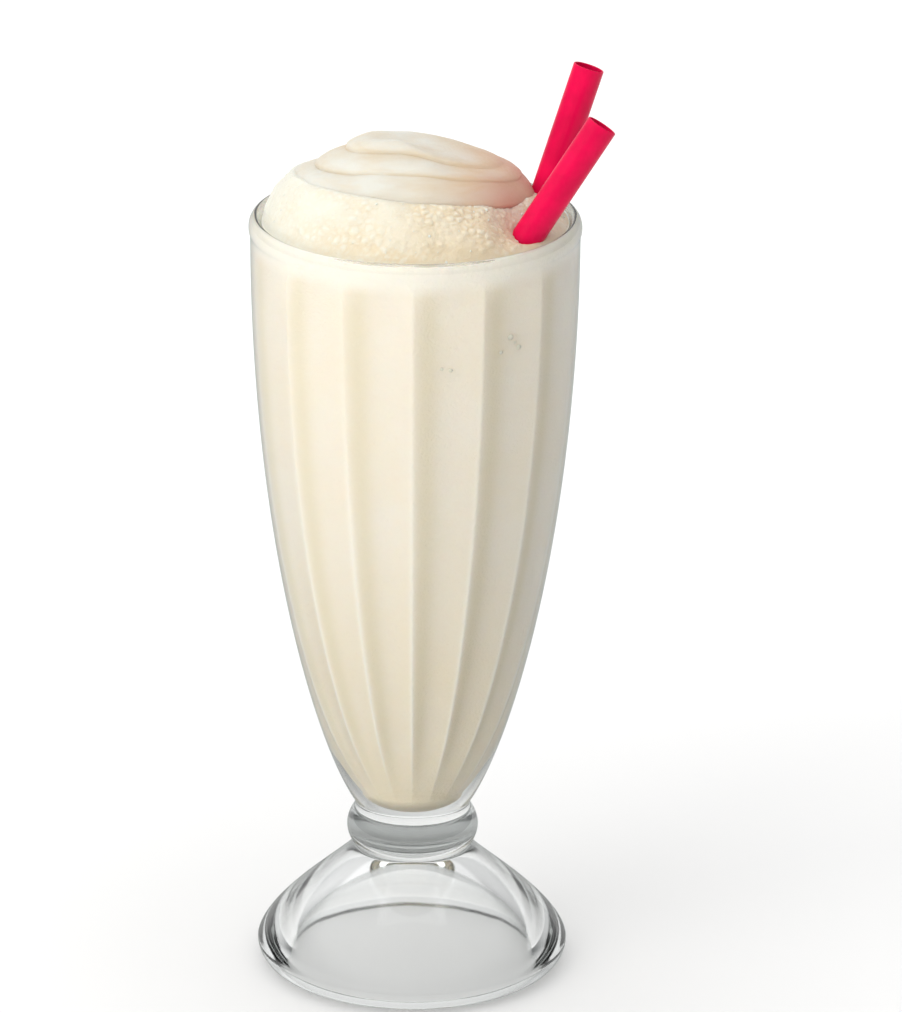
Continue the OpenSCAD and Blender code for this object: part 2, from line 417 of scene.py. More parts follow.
def arc(centre, radii, start, end, steps):
    """Points along an elliptical arc in the r, z plane, angles in degrees."""
    a = np.radians(np.linspace(start, end, steps))
    return np.stack([centre[0] + radii[0] * np.cos(a), centre[1] + radii[1] * np.sin(a)], -1)


# ---- noise ----


def lumps(points, size, octaves=3):
    """Fractal noise of about -1 to 1 at the given points, with features of one size."""
    return np.array(
        [
            noise.fractal(Vector(p) / size, 1.0, 2.0, octaves, noise_basis="PERLIN_ORIGINAL")
            for p in points
        ]
    )


def crumbs(points, size):
    """Rounded crumbs with clefts between them: 1 at a crumb's middle and 0 in a cleft."""
    out = np.empty(len(points))
    for i, p in enumerate(points):
        near = noise.voronoi(Vector(p) / size, distance_metric="DISTANCE", exponent=2.5)[0]
        out[i] = min(1.0, (near[1] - near[0]) * 1.6)
    return out


# ---- shader pieces ----


class Nodes:
    """Adds nodes to a tree from left to right and links them by name."""

    def __init__(self, tree):
        self.tree = tree
        self.count = 0

    def add(self, kind, inputs=None, **settings):
        node = self.tree.nodes.new(kind)
        node.location = (self.count * 190, -(self.count % 3) * 160)
        self.count += 1
        for key, value in settings.items():
            setattr(node, key, value)
        for key, value in (inputs or {}).items():
            if isinstance(value, bpy.types.NodeSocket):
                self.tree.links.new(value, node.inputs[key])
            else:
                node.inputs[key].default_value = value
        return node

    def ramp(self, value, low, high):
        """Value from low to high, mapped to 0 to 1."""
        inputs = {"Value": value, "From Min": low, "From Max": high}
        return self.add("ShaderNodeMapRange", inputs).outputs["Result"]

    def maths(self, operation, a, b=0.0):
        node = self.add("ShaderNodeMath", {0: a, 1: b}, operation=operation)
        return node.outputs[0]

    def blend(self, factor, a, b):
        """Mixes two colours."""
        node = self.add("ShaderNodeMix", data_type="RGBA")
        for socket, value in ((node.inputs[0], factor), (node.inputs[6], a), (node.inputs[7], b)):
            if isinstance(value, bpy.types.NodeSocket):
                self.tree.links.new(value, socket)
            else:
                socket.default_value = value
        return node.outputs[2]


def material(name):
    """A new material with only a Principled shader and its output."""
    made = bpy.data.materials.new(name)
    made.use_nodes = True
    made.node_tree.nodes.clear()
    n = Nodes(made.node_tree)
    shader = n.add("ShaderNodeBsdfPrincipled")
    output = n.add("ShaderNodeOutputMaterial", {"Surface": shader.outputs[0]})
    return made, n, shader, output


def feed(n, shader, **sockets):
    """Sets or links sockets of a shader, given with _ for a space."""
    for key, value in sockets.items():
        socket = shader.inputs[key.replace("_", " ")]
        if isinstance(value, bpy.types.NodeSocket):
            n.tree.links.new(value, socket)
        else:
            socket.default_value = value


def mottle_group():
    """Shared effect: cloudy and fine mottling of anything creamy, as two masks."""
    group = bpy.data.node_groups.get("mottle")
    if group:
        return group
    group = bpy.data.node_groups.new("mottle", "ShaderNodeTree")
    face = group.interface
    scale = face.new_socket("Cloud size", in_out="INPUT", socket_type="NodeSocketFloat")
    scale.default_value = 60.0
    fine = face.new_socket("Grain size", in_out="INPUT", socket_type="NodeSocketFloat")
    fine.default_value = 900.0
    face.new_socket("Cloud", in_out="OUTPUT", socket_type="NodeSocketFloat")
    face.new_socket("Grain", in_out="OUTPUT", socket_type="NodeSocketFloat")
    n = Nodes(group)
    asked = n.add("NodeGroupInput")
    where = n.add("ShaderNodeTexCoord").outputs["Object"]
    cloud = n.add(
        "ShaderNodeTexNoise",
        {"Vector": where, "Scale": asked.outputs["Cloud size"], "Detail": 3.0, "Roughness": 0.55},
    )
    grain = n.add(
        "ShaderNodeTexNoise",
        {"Vector": where, "Scale": asked.outputs["Grain size"], "Detail": 4.0, "Roughness": 0.6},
    )
    put = n.add("NodeGroupOutput")
    group.links.new(n.ramp(cloud.outputs["Fac"], 0.35, 0.65), put.inputs["Cloud"])
    group.links.new(n.ramp(grain.outputs["Fac"], 0.3, 0.7), put.inputs["Grain"])
    return group


def mottled(n, cloud_size, grain_size):
    """Places the mottling in a material, and returns its two masks."""
    inputs = {"Cloud size": cloud_size, "Grain size": grain_size}
    node = n.tree.nodes.new("ShaderNodeGroup")
    node.node_tree = mottle_group()
    for key, value in inputs.items():
        node.inputs[key].default_value = value
    return node.outputs["Cloud"], node.outputs["Grain"]


def glass_material(finish):
    """Clear pressed glass with painted shade where it is seen edge on, that lets the lamps shine
    through to the drink.
    """
    made, n, shader, output = material("pressed_glass")
    cloud, grain = mottled(n, 45.0, 500.0)
    waves = n.add("ShaderNodeBump", {"Height": cloud, "Strength": 0.06, "Distance": 0.0004})
    feed(
        n,
        shader,
        Base_Color=tuple(finish.glass),
        Roughness=n.ramp(grain, -2.0, 40.0),
        IOR=1.5,
        Transmission_Weight=1.0,
        Normal=waves.outputs[0],
    )
    # painted shade: a dark glass mixed in where the surface is seen edge on
    tone = tuple(finish.glass_edge_shade)
    edge = n.add("ShaderNodeBsdfGlass", {"Color": tone, "Roughness": 0.02, "IOR": 1.5})
    facing = n.add("ShaderNodeLayerWeight", {"Blend": 0.5}).outputs["Facing"]
    rim = n.add("ShaderNodeMixShader", {0: n.maths("POWER", facing, 4.5)})
    n.tree.links.new(shader.outputs[0], rim.inputs[1])
    n.tree.links.new(edge.outputs[0], rim.inputs[2])
    clear = n.add("ShaderNodeBsdfTransparent", {"Color": tuple(finish.glass_shade)})
    path = n.add("ShaderNodeLightPath")
    mix = n.add("ShaderNodeMixShader", {0: path.outputs["Is Shadow Ray"]})
    n.tree.links.new(rim.outputs[0], mix.inputs[1])
    n.tree.links.new(clear.outputs[0], mix.inputs[2])
    n.tree.links.new(mix.outputs[0], output.inputs["Surface"])
    tone = tuple(finish.glass_depth)
    depth = n.add("ShaderNodeVolumeAbsorption", {"Color": tone, "Density": 8.0})
    n.tree.links.new(depth.outputs[0], output.inputs["Volume"])
    return made


def shake_material(finish):
    """The drink where it lies against the glass, and the froth above, by the froth attribute."""
    made, n, shader, _ = material("vanilla_shake")
    cloud, grain = mottled(n, 40.0, 1400.0)
    froth = n.add("ShaderNodeAttribute", attribute_name="froth").outputs["Fac"]
    cleft = n.add("ShaderNodeAttribute", attribute_name="cleft").outputs["Fac"]
    crease_and_lip_highlight = n.add("ShaderNodeAttribute", attribute_name="crease_and_lip_highlight").outputs["Fac"]
    flute = n.add("ShaderNodeAttribute", attribute_name="flute").outputs["Fac"]
    straw_shadow_and_bounce = n.add("ShaderNodeAttribute", attribute_name="straw_shadow_and_bounce").outputs["Fac"]
    place = n.add("ShaderNodeTexCoord").outputs["Object"]
    where = n.add("ShaderNodeSeparateXYZ", {0: place})
    low = n.ramp(where.outputs["Z"], 0.125, 0.045)
    depth = n.maths("ADD", n.maths("MULTIPLY", cloud, 0.3), n.maths("MULTIPLY", low, 0.7))
    drink = n.blend(depth, tuple(finish.shake), tuple(finish.shake_deep))
    # painted shade in each flute, to one side of its crease
    drink = n.blend(n.maths("MULTIPLY", flute, 0.6), drink, tuple(finish.shake_flute_shade))
    # painted highlight on the creases; under the lip the paler tone is froth at the glass and
    # partly a painted highlight
    drink = n.blend(crease_and_lip_highlight, drink, tuple(finish.shake_painted_highlight))
    # painted shade: tan between the crumbs and over the right side of the froth, away from the
    # light
    right = n.ramp(where.outputs["X"], -0.022, 0.004)
    right_shade = n.maths("MULTIPLY", right, n.ramp(cloud, -0.4, 1.0))
    tan = n.maths("MAXIMUM", n.maths("MULTIPLY", cleft, 1.3), right_shade)
    foam = n.blend(tan, tuple(finish.froth), tuple(finish.froth_shade))
    # painted shadow and red bounce light of the straws
    foam = n.blend(straw_shadow_and_bounce, foam, tuple(finish.straw_shadow_and_bounce))
    bump = n.add("ShaderNodeBump", {"Height": grain, "Strength": 0.35, "Distance": 0.0003})
    feed(
        n,
        shader,
        Base_Color=n.blend(froth, drink, foam),
        Roughness=n.ramp(grain, -1.0, 3.0),
        IOR=1.36,
        Subsurface_Weight=0.35,
        Subsurface_Radius=(0.004, 0.003, 0.002),
        Subsurface_Scale=1.0,
        Normal=bump.outputs[0],
    )
    return made


def cream_material(finish):
    """The smooth swirl, with painted shade in its folds and over its right side."""
    made, n, shader, _ = material("soft_cream")
    cloud, grain = mottled(n, 70.0, 1500.0)
    fold = n.add("ShaderNodeAttribute", attribute_name="fold").outputs["Fac"]
    straw_shadow_and_bounce = n.add("ShaderNodeAttribute", attribute_name="straw_shadow_and_bounce").outputs["Fac"]
    # painted shade in the folds
    tone = n.maths("ADD", n.maths("MULTIPLY", cloud, 0.25), n.maths("MULTIPLY", fold, 0.7))
    place = n.add("ShaderNodeTexCoord").outputs["Object"]
    across = n.add("ShaderNodeSeparateXYZ", {0: place}).outputs["X"]
    # painted shade over the right side, away from the light
    tone = n.maths("ADD", tone, n.maths("MULTIPLY", n.ramp(across, -0.004, 0.022), 0.6))
    lay = {"Vector": place, "Rotation": (0.0, 0.22, 0.0), "Scale": (60.0, 90.0, 420.0)}
    drawn = n.add("ShaderNodeMapping", lay).outputs[0]
    streaks = n.add("ShaderNodeTexNoise", {"Vector": drawn, "Scale": 1.0, "Detail": 3.0})
    streaky = n.ramp(streaks.outputs["Fac"], 0.35, 0.75)
    tone = n.maths("ADD", tone, n.maths("MULTIPLY", streaky, 0.7))
    tone = n.maths("SUBTRACT", tone, 0.15)
    cream = n.blend(n.ramp(tone, 0.0, 1.0), tuple(finish.cream), tuple(finish.cream_shade))
    bump = n.add("ShaderNodeBump", {"Height": grain, "Strength": 0.18, "Distance": 0.0002})
    feed(
        n,
        shader,
        # painted shadow and red bounce light of the straws
        Base_Color=n.blend(straw_shadow_and_bounce, cream, tuple(finish.straw_shadow_and_bounce)),
        Roughness=n.ramp(grain, -1.5, 2.0),
        IOR=1.4,
        Subsurface_Weight=0.4,
        Subsurface_Radius=(0.004, 0.003, 0.002),
        Subsurface_Scale=1.0,
        Normal=bump.outputs[0],
    )
    return made


def straw_material(finish):
    """Smooth coloured plastic, a little cloudy, with a faint grain."""
    made, n, shader, _ = material("straw_plastic")
    cloud, grain = mottled(n, 120.0, 2500.0)
    deep = tuple(0.8 * c for c in finish.straw[:3]) + (1.0,)
    bump = n.add("ShaderNodeBump", {"Height": grain, "Strength": 0.05, "Distance": 0.0001})
    feed(
        n,
        shader,
        Base_Color=n.blend(cloud, tuple(finish.straw), deep),
        Roughness=n.ramp(grain, -1.6, 4.0),
        IOR=1.5,
        Specular_IOR_Level=0.12,
        Normal=bump.outputs[0],
    )
    return made


def bubble_material(finish):
    """Small shiny bubbles of the drink's own tone, at the glass and on the froth."""
    made, n, shader, _ = material("bubble_film")
    _, grain = mottled(n, 200.0, 3000.0)
    feed(
        n,
        shader,
        Base_Color=tuple(finish.froth),
        Roughness=n.ramp(grain, -0.5, 5.0),
        IOR=1.33,
        Subsurface_Weight=0.3,
        Subsurface_Radius=(0.002, 0.0015, 0.001),
        Subsurface_Scale=1.0,
    )
    return made


# ---- pieces ----


def glass_profile(g):
    """Radii, heights and flute weights of the outside, from the foot's hollow to the lip."""
    hollow_r, hollow_h = g.ring_r - g.ring_w, g.foot_h - g.roof_t
    z = hollow_h * np.sin(np.linspace(1.52, 0.0, 56))
    r = hollow_r * (1.0 - (z / hollow_h) ** 1.6) ** 0.9
    inner_round = 1.9 * MM
    keep = z > inner_round + 0.3 * MM
    hollow = np.stack([r[keep], z[keep], np.zeros(keep.sum())], -1)

    def plain(points):
        return np.column_stack([points, np.zeros(len(points))])

    soft = 0.6 * MM
    round_at = (hollow_r + inner_round - 0.2 * MM, inner_round)
    inner_edge = arc(round_at, (inner_round, inner_round), 186, 268, 10)
    ring = np.array([[round_at[0] + 0.1 * MM, 0.0], [g.ring_r - soft, 0.0]])
    edge = arc((g.ring_r, g.foot_edge_h), (g.foot_r - g.ring_r, g.foot_edge_h), -86, 0, 14)
    t = np.linspace(0.0, 1.0, 44)[1:]
    foot = np.stack(
        [
            g.stem_r + (g.foot_r - g.stem_r) * (1.0 - t**1.41) ** 1.21,
            g.foot_edge_h + (g.foot_h - g.foot_edge_h) * t,
        ],
        -1,
    )
    t = np.linspace(0.0, 1.0, 26)[1:]
    knop = np.stack(
        [g.stem_r + (g.knop_r - g.stem_r) * np.sin(np.pi * t) ** 0.8, g.foot_h + g.knop_h * t], -1
    )
    z = stem_top(g) + (lip_low(g) - stem_top(g)) * np.linspace(0.02, 1.0, 84) ** 1.3
    bowl = np.stack([bowl_r(g, z), z], -1)
    crest = (g.lip_r - g.crest_in, g.height - g.lip_h / 2)
    outer = arc(crest, (g.crest_in, g.lip_h / 2), -36, 88, 18)
    inner_r = g.lip_r - g.wall_top
    inner = arc(crest, (crest[0] - inner_r, g.lip_h / 2), 92, 180, 14)
    z = np.linspace(lip_low(g), cup_floor(g) + g.cup_round_h, 92)
    wall = np.stack([cup_r(g, z), z, g.flute_d * flute_fade(g, z)], -1)
    z = cup_floor(g) + g.cup_round_h * (1.0 - np.sin(np.linspace(0.06, 1.52, 22)))
    cup = np.stack([cup_r(g, z), z, g.flute_d * flute_fade(g, z)], -1)
    solid = np.concatenate([inner_edge, ring, edge, foot, knop, bowl, outer, inner])
    return np.concatenate([hollow, plain(solid), wall, cup])


def make_glass(scene):
    g = scene.milkshake_glass
    profile = glass_profile(g)
    a = columns(g, g.columns_per_flute)
    swing = profile[:, 2:3] * scallop(g, a)
    rows = ring_rows(profile[:, 0], profile[:, 1], a, swing)
    low, high = (0.0, 0.0, g.foot_h - g.roof_t), (0.0, 0.0, cup_floor(g))
    obj = skin("soda_glass", rows, low, high)
    return finish_piece(obj, glass_material(scene.milkshake_finish), "glass", "glass")


def around(values, a):
    """Smooth value round a circle from its values to the right, back, left and front."""
    right, back, left, front = values
    mean = (right + back + left + front) / 4.0
    return (
        mean
        + (right - left) / 2.0 * np.cos(a)
        + (back - front) / 2.0 * np.sin(a)
        + (right - back + left - front) / 4.0 * np.cos(2.0 * a)
    )


def seat_z(g, d, x, y):
    """Height of the plane that the swirl sits on."""
    return g.height + d.seat_h - d.seat_fall[0] * x - d.seat_fall[1] * y


def swirl_edge(d, a):
    r = around(d.edge_r, a)
    return d.centre[0] + r * np.cos(a), d.centre[1] + r * np.sin(a)


def make_shake(scene):
    """The drink from the floor of the glass up, and its froth up to the seat of the swirl."""
    g, d = scene.milkshake_glass, scene.milkshake_drink
    a = columns(g, 36)
    froth_z = g.height - d.froth_drop
    floor = cup_floor(g) + g.cup_round_h * (1.0 - np.sin(np.linspace(1.5, 0.1, 14)))
    wall = np.linspace(cup_floor(g) + g.cup_round_h, lip_low(g), 46)
    z = np.concatenate([floor, wall, [(lip_low(g) + froth_z) / 2, froth_z]])
    swing = d.bite + g.flute_d * flute_fade(g, z)[:, None] * scallop(g, a)
    drink = ring_rows(cup_r(g, z), z, a, swing)
    drink[:14, :, 2] -= d.bite

    steps = 58
    edge_x, edge_y = swirl_edge(d, a)
    rim = drink[-1]
    u = (np.arange(1, steps + 1) / steps)[:, None]
    x = rim[:, 0] + (edge_x * 0.93 - rim[:, 0]) * u
    y = rim[:, 1] + (edge_y * 0.93 - rim[:, 1]) * u
    rise = np.sin(np.pi / 2 * np.minimum(1.0, u * 1.12)) ** 0.8
    dip_x, dip_y, _ = straw_entry(g, scene.milkshake_straws)
    dip = np.exp(-((x - dip_x) ** 2 + (y - dip_y) ** 2) / d.dip_r**2)
    dip = dip * smooth(u * 3.0) * (1.0 - u**4)
    top = froth_z + (seat_z(g, d, x, y) - froth_z) * rise - d.dip_d * dip
    top = top + 0.9 * MM * smooth((u - 0.5) / 0.35)
    froth = np.stack([x, y, top], -1)
    flat = froth.reshape(-1, 3)
    # the crumbs, and the painted shade between them, are weaker on the left
    rough = np.tile(around((1.0, 0.7, 0.15, 1.0), a), steps)
    cells = crumbs(flat, d.froth_cell) * 0.7 + crumbs(flat, d.froth_cell * 0.45) * 0.3
    patchy = np.clip(0.7 + 0.9 * lumps(flat, 9.0 * MM, 2), 0.25, 1.0)
    cells = 1.0 - (1.0 - cells) * rough * patchy
    swell = lumps(flat, 7.0 * MM)
    fade = (smooth(u * 6.0) * np.ones_like(x)).reshape(-1)
    out = np.stack([flat[:, 0], flat[:, 1], np.full(len(flat), 12.0 * MM)], -1)
    out /= np.linalg.norm(out, axis=1, keepdims=True)
    flat += out * (fade * (d.froth_relief * (cells - 0.6) + 0.5 * MM * swell))[:, None]
    froth = flat.reshape(froth.shape)

    rows = np.concatenate([drink, froth])
    middle = (d.centre[0], d.centre[1], seat_z(g, d, *d.centre))
    obj = skin("vanilla_shake", rows, (0.0, 0.0, cup_floor(g) - d.bite), middle)
    # a paler band under the lip: froth against the glass, and partly a painted highlight
    band = smooth((drink[..., 2] - lip_low(g) + 1.5 * MM) / (2.0 * MM)).reshape(-1)
    none, ends = np.zeros(len(band)), [0.0, 0.0]
    # painted highlight along each crease, fading out towards the lip
    crease = np.exp(-(scallop(g, a) - MEAN_SINE) ** 2 / 0.03) * flute_fade(g, z)[:, None]
    crease = crease * smooth((190.0 * MM - z) / (90.0 * MM))[:, None]
    across = np.mod(g.flutes * (a - g.crease_az) / (2.0 * np.pi), 1.0)
    # painted shade: centred a fifth of a flute past each crease, on one side only
    hollow = np.exp(-(((across - 0.2) / 0.17) ** 2)) * flute_fade(g, z)[:, None]
    point_values(obj, "froth", np.concatenate([none, np.ones(len(flat)), [0.0, 1.0]]))
    point_values(obj, "flute", np.concatenate([hollow.reshape(-1), np.zeros(len(flat)), ends]))
    # painted shade between the froth's crumbs
    point_values(obj, "cleft", np.concatenate([none, 1.0 - cells, ends]))
    highlight_mask = np.maximum(0.7 * crease.reshape(-1), 0.7 * band)
    point_values(obj, "crease_and_lip_highlight", np.concatenate([highlight_mask, np.zeros(len(flat)), ends]))
    # painted shadow and red bounce light of the straws on the froth
    point_values(obj, "straw_shadow_and_bounce", np.concatenate([none, 0.2 * near_straws(scene, flat), ends]))
    return finish_piece(obj, shake_material(scene.milkshake_finish), "shake", "shake")


def roll_rows(low, high, swell, steps):
    """One roll of the swirl between two rings of points, and how much painted shade each row gets
    at the folds.
    """
    u = (np.arange(steps) / steps)[:, None, None]
    run = np.linalg.norm(low[:, :2] - high[:, :2], axis=1)
    rise = high[:, 2] - low[:, 2]
    reach = np.hypot(run, rise)
    way = (low[:, :2] - high[:, :2]) / np.maximum(run, 1e-9)[:, None]
    outward = np.concatenate([way * (rise / reach)[:, None], (run / reach)[:, None]], axis=1)
    bulge = np.sin(np.pi * u**0.62) ** 0.9
    lap = np.exp(-((u - 0.06) / 0.07) ** 2)
    rows = low + (high - low) * u + outward * swell[:, None] * bulge
    rows[..., :2] += way * (0.08 * swell)[:, None] * lap
    # painted shade: weights for the darker tone at the creases where the rolls meet
    fold = 0.7 * np.exp(-u[..., 0] / 0.1) + 0.5 * np.exp(-(1.0 - u[..., 0]) / 0.2)
    return rows, np.broadcast_to(fold, rows.shape[:2])


def make_swirl(scene):
    """Three soft rolls, each lying over the one below, with a low soft tip."""
    g, d = scene.milkshake_glass, scene.milkshake_drink
    a = 2.0 * np.pi * np.arange(360) / 360
    rings = []
    for radii, heights in ((d.edge_r, None), (d.middle_r, d.middle_h), (d.cap_r, d.cap_h)):
        r = around(radii, a)
        x, y = d.centre[0] + r * np.cos(a), d.centre[1] + r * np.sin(a)
        z = seat_z(g, d, x, y) if heights is None else g.height + around(heights, a)
        rings.append(np.stack([x, y, z], -1))
    peak = np.array([d.top[0], d.top[1], g.height + d.top[2]])
    rings.append(np.broadcast_to(peak, rings[0].shape))
    weights = around((0.55, 0.9, 1.15, 1.0), a)
    rows, folds = [], []
    for k, swell in enumerate(d.swells):
        roll, fold = roll_rows(rings[k], rings[k + 1], swell * weights, 36)
        rows.append(roll)
        # painted fold shade, half as strong at the lowest roll
        folds.append(fold * (0.5 if k == 0 else 1.0))
    rows, folds = np.concatenate(rows), np.concatenate(folds)
    flat = rows.reshape(-1, 3)
    soft = lumps(flat, 11.0 * MM, 2) * 0.35 * MM
    streaks = lumps(flat * np.array([0.35, 1.0, 2.2]), 2.6 * MM, 2) * 0.07 * MM
    flat[:, 2] += soft + streaks
    base = (d.centre[0], d.centre[1], seat_z(g, d, *d.centre) - 1.0 * MM)
    flat[: len(a), 2] -= 1.0 * MM
    obj = skin("cream_swirl", flat.reshape(rows.shape), base, tuple(peak + (0, 0, 0.2 * MM)))
    point_values(obj, "fold", np.concatenate([folds.reshape(-1), [0.0, 0.0]]))
    # painted shadow and red bounce light of the straws on the swirl
    point_values(obj, "straw_shadow_and_bounce", np.concatenate([near_straws(scene, flat), [0.0, 0.0]]))
    return finish_piece(obj, cream_material(scene.milkshake_finish), "swirl", "swirl")


def straw_ends(g, s):
    """Lower and upper ends of the back and the front straw's axes."""
    clear_r = g.lip_r - g.wall_top - s.diameter / 2
    end_z = g.height - s.front_dip
    flute_r = float(cup_r(g, np.array(end_z))) - g.flute_d * (1.0 - MEAN_SINE)
    front_in = polar(clear_r - s.front_gap, s.front_az[0], g.height - s.front_drop)
    front_end = polar(flute_r - s.diameter / 2 - s.front_end_gap, s.front_az[1], end_z)
    front_way = (front_in - front_end).normalized()
    total = s.length_out + (front_in - front_end).length
    back_in = polar(clear_r - s.back_gap, s.back_az[0], g.height + s.back_rise)
    back_way = Vector((math.tan(s.back_lean[0]), math.tan(s.back_lean[1]), 1.0)).normalized()
    pairs = {}
    for name, way_in, way in (("back", back_in, back_way), ("front", front_in, front_way)):
        top = way_in + way * s.length_out
        pairs[name] = (top - way * total, top)
    return pairs


def straw_entry(g, s):
    """Where the front straw's axis goes into the froth."""
    low, high = straw_ends(g, s)["front"]
    return high + (low - high).normalized() * s.length_out


def near_straws(scene, points):
    """1 beside a straw, falling to 0 some way off, at each point."""
    reach, core = scene.milkshake_drink.straw_shadow_reach, 3.5 * MM
    best = np.zeros(len(points))
    for low, high in straw_ends(scene.milkshake_glass, scene.milkshake_straws).values():
        way = np.array((high - low).normalized())
        off = points - np.array(low)
        away = np.linalg.norm(off - (off @ way)[:, None] * way, axis=1)
        best = np.maximum(best, np.exp(-((away - core) / reach) ** 2))
    return best


def polar(r, a, z):
    """A point at radius r, direction a and height z."""
    return Vector((r * math.cos(a), r * math.sin(a), z))


def make_straws(scene):
    """Two hollow straws with softly rounded cut ends."""
    g, s = scene.milkshake_glass, scene.milkshake_straws
    plastic = straw_material(scene.milkshake_finish)
    radius, wall = s.diameter / 2, s.wall
    a = 2.0 * np.pi * np.arange(72) / 72
    made = []
    for name, (low, high) in straw_ends(g, s).items():
        total = (high - low).length
        along = np.linspace(wall / 2, total - wall / 2, 40)
        cut = arc((radius - wall / 2, total - wall / 2), (wall / 2, wall / 2), 10, 170, 9)
        foot = arc((radius - wall / 2, wall / 2), (wall / 2, wall / 2), 190, 350, 9)
        outside = np.stack([np.full(40, radius), along], -1)
        inside = np.stack([np.full(40, radius - wall), along[::-1]], -1)
        profile = np.concatenate([outside, cut, inside, foot])
        rows = ring_rows(profile[:, 0], profile[:, 1], a)
        obj = skin(f"drinking_straw_{name}", rows, loop=True)
        turn = (high - low).to_track_quat("Z", "Y").to_matrix().to_4x4()
        obj.data.transform(Matrix.Translation(low) @ turn)
        made.append(finish_piece(obj, plastic, "straw", f"straw_{name}"))
    return made


# ---- bubbles, by geometry nodes ----


def bubble_tree(film):
    """Small flattened balls at the points of the mesh, each with its own size."""
    tree = bpy.data.node_groups.new("bubbles", "GeometryNodeTree")
    face = tree.interface
    face.new_socket("Geometry", in_out="INPUT", socket_type="NodeSocketGeometry")
    size = face.new_socket("Size", in_out="INPUT", socket_type="NodeSocketFloat")
    size.default_value = 1.0
    flat = face.new_socket("Flatness", in_out="INPUT", socket_type="NodeSocketFloat")
    flat.default_value = 0.6
    seed = face.new_socket("Seed", in_out="INPUT", socket_type="NodeSocketInt")
    seed.default_value = 7
    face.new_socket("Geometry", in_out="OUTPUT", socket_type="NodeSocketGeometry")
    n = Nodes(tree)
    asked = n.add("NodeGroupInput")
    points = n.add("GeometryNodeMeshToPoints", {"Mesh": asked.outputs["Geometry"]})
    ball = n.add("GeometryNodeMeshIcoSphere", {"Radius": 1.0, "Subdivisions": 2})
    own = n.add("GeometryNodeInputNamedAttribute", {"Name": "bubble_r"}, data_type="FLOAT")
    wide = n.maths("MULTIPLY", own.outputs["Attribute"], asked.outputs["Size"])
    high = n.maths("MULTIPLY", wide, asked.outputs["Flatness"])
    scale = n.add("ShaderNodeCombineXYZ", {"X": wide, "Y": wide, "Z": high})
    facing = n.add("GeometryNodeInputNamedAttribute", {"Name": "facing"}, data_type="FLOAT_VECTOR")
    way = {"Vector": facing.outputs["Attribute"]}
    turn = n.add("FunctionNodeAlignRotationToVector", way, axis="Z")
    spin = n.add(
        "FunctionNodeRandomValue",
        {"Seed": asked.outputs["Seed"], 2: 0.0, 3: math.tau},
        data_type="FLOAT",
    )
    about = n.add("ShaderNodeCombineXYZ", {"Z": spin.outputs[1]})
    turned = n.add(
        "FunctionNodeRotateRotation",
        {"Rotation": turn.outputs[0], "Rotate By": about.outputs[0]},
        rotation_space="LOCAL",
    )
    placed = n.add(
        "GeometryNodeInstanceOnPoints",
        {
            "Points": points.outputs[0],
            "Instance": ball.outputs[0],
            "Rotation": turned.outputs[0],
            "Scale": scale.outputs[0],
        },
    )
    real = n.add("GeometryNodeRealizeInstances", {0: placed.outputs[0]})
    shaded = n.add("GeometryNodeSetShadeSmooth", {0: real.outputs[0]})
    dressed = n.add("GeometryNodeSetMaterial", {"Geometry": shaded.outputs[0], "Material": film})
    put = n.add("NodeGroupOutput")
    tree.links.new(dressed.outputs[0], put.inputs[0])
    return tree


def grown(name, points, facings, radii, tree, **values):
    """Runs the bubble tree on points and returns the result as a plain piece."""
    mesh = bpy.data.meshes.new(name)
    mesh.from_pydata([tuple(p) for p in points], [], [])
    layer = mesh.attributes.new("bubble_r", "FLOAT", "POINT")
    layer.data.foreach_set("value", np.asarray(radii, dtype=np.float32))
    layer = mesh.attributes.new("facing", "FLOAT_VECTOR", "POINT")
    layer.data.foreach_set("vector", np.asarray(facings, dtype=np.float32).reshape(-1))
    seedling = bpy.data.objects.new(name + "_points", mesh)
    bpy.context.scene.collection.objects.link(seedling)
    modifier = seedling.modifiers.new("Bubbles", "NODES")
    modifier.node_group = tree
    sockets = {i.name: i.identifier for i in tree.interface.items_tree if i.in_out == "INPUT"}
    for key, value in values.items():
        modifier[sockets[key]] = value
    evaluated = seedling.evaluated_get(bpy.context.evaluated_depsgraph_get())
    plain = bpy.data.meshes.new_from_object(evaluated)
    plain.name = name
    bpy.data.objects.remove(seedling)
    obj = bpy.data.objects.new(name, plain)
    bpy.context.scene.collection.objects.link(obj)
    return obj


